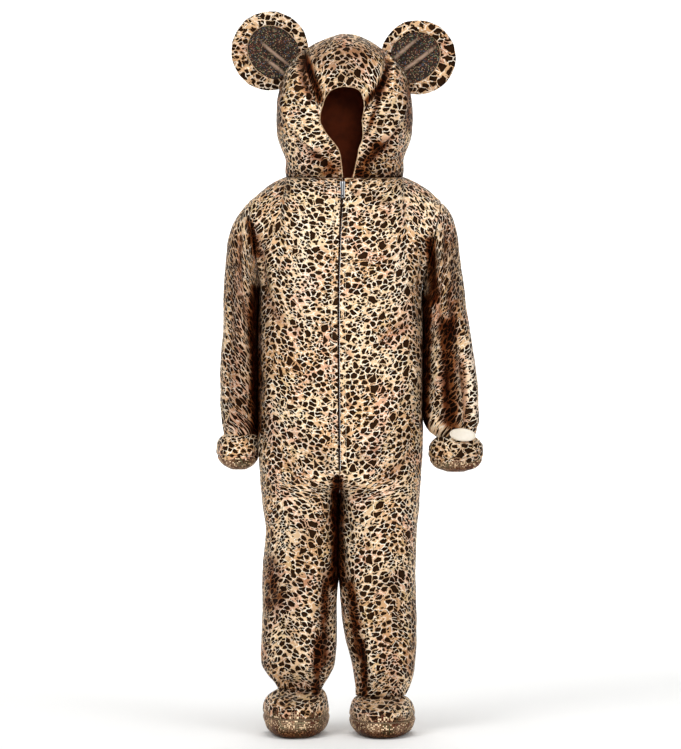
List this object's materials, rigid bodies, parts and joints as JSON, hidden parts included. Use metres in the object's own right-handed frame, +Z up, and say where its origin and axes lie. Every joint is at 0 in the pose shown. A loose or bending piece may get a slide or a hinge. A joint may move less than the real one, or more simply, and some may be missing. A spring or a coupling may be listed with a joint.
{
  "type": "child's hooded leopard costume",
  "caption": "Hooded one-piece animal costume for a child, filled out and empty, with round padded ears, a front zip, closed mitts and foot covers.",
  "frame": {"origin": "on the line of the front zip, level with the tops of the shoulders, in the middle of the depth of the shoulder seams, where the wearer's shoulders carry the suit", "axes": "+Z up along the suit, -Y out of the front, +X to the right as seen from the front; node names use left and right as seen from the front, left at -X"},
  "size_m": [0.3993, 0.2137, 1.0801],
  "materials": {
    "leopard_cloth": "shiny pile cloth with an ordinary leopard print",
    "foil_cloth": "leopard cloth with fine foil dots",
    "glitter_cloth": "dark cloth with fine glitter",
    "brown_lining": "plain matt lining",
    "zip_tape": "woven tape and coil",
    "zip_metal": "grey plated metal",
    "cream_patch": "plain cream cloth"
  },
  "bodies": {
    "suit": {"front_left": "leopard_cloth", "back_left": "leopard_cloth", "sleeve_left": "leopard_cloth", "mitt_left": "leopard_cloth", "foot_left": "leopard_cloth", "mitt_left_tip": "foil_cloth", "foot_left_sole": "foil_cloth", "ear_left_back": "leopard_cloth", "ear_left_rim": "leopard_cloth", "ear_left_panel": "glitter_cloth", "zip_tape_left": "zip_tape", "front_right": "leopard_cloth", "back_right": "leopard_cloth", "sleeve_right": "leopard_cloth", "mitt_right": "leopard_cloth", "foot_right": "leopard_cloth", "mitt_right_tip": "foil_cloth", "foot_right_sole": "foil_cloth", "ear_right_back": "leopard_cloth", "ear_right_rim": "leopard_cloth", "ear_right_panel": "glitter_cloth", "zip_tape_right": "zip_tape", "hood_left": "leopard_cloth", "hood_centre": "leopard_cloth", "hood_right": "leopard_cloth", "hood_lining": "brown_lining", "zip_chain": "zip_tape", "zip_slider": "zip_metal", "wrist_patch": "cream_patch"},
    "pull_tab": {"pull_tab": "zip_metal"}
  },
  "joints": [
    {"name": "pull_tab_hinge", "type": "hinge", "parent": "suit", "child": "pull_tab", "pos_m": [0.00191, -0.08426, 0.0144], "axis": [-1, 0, 0], "range_deg": [0, 135]}
  ]
}
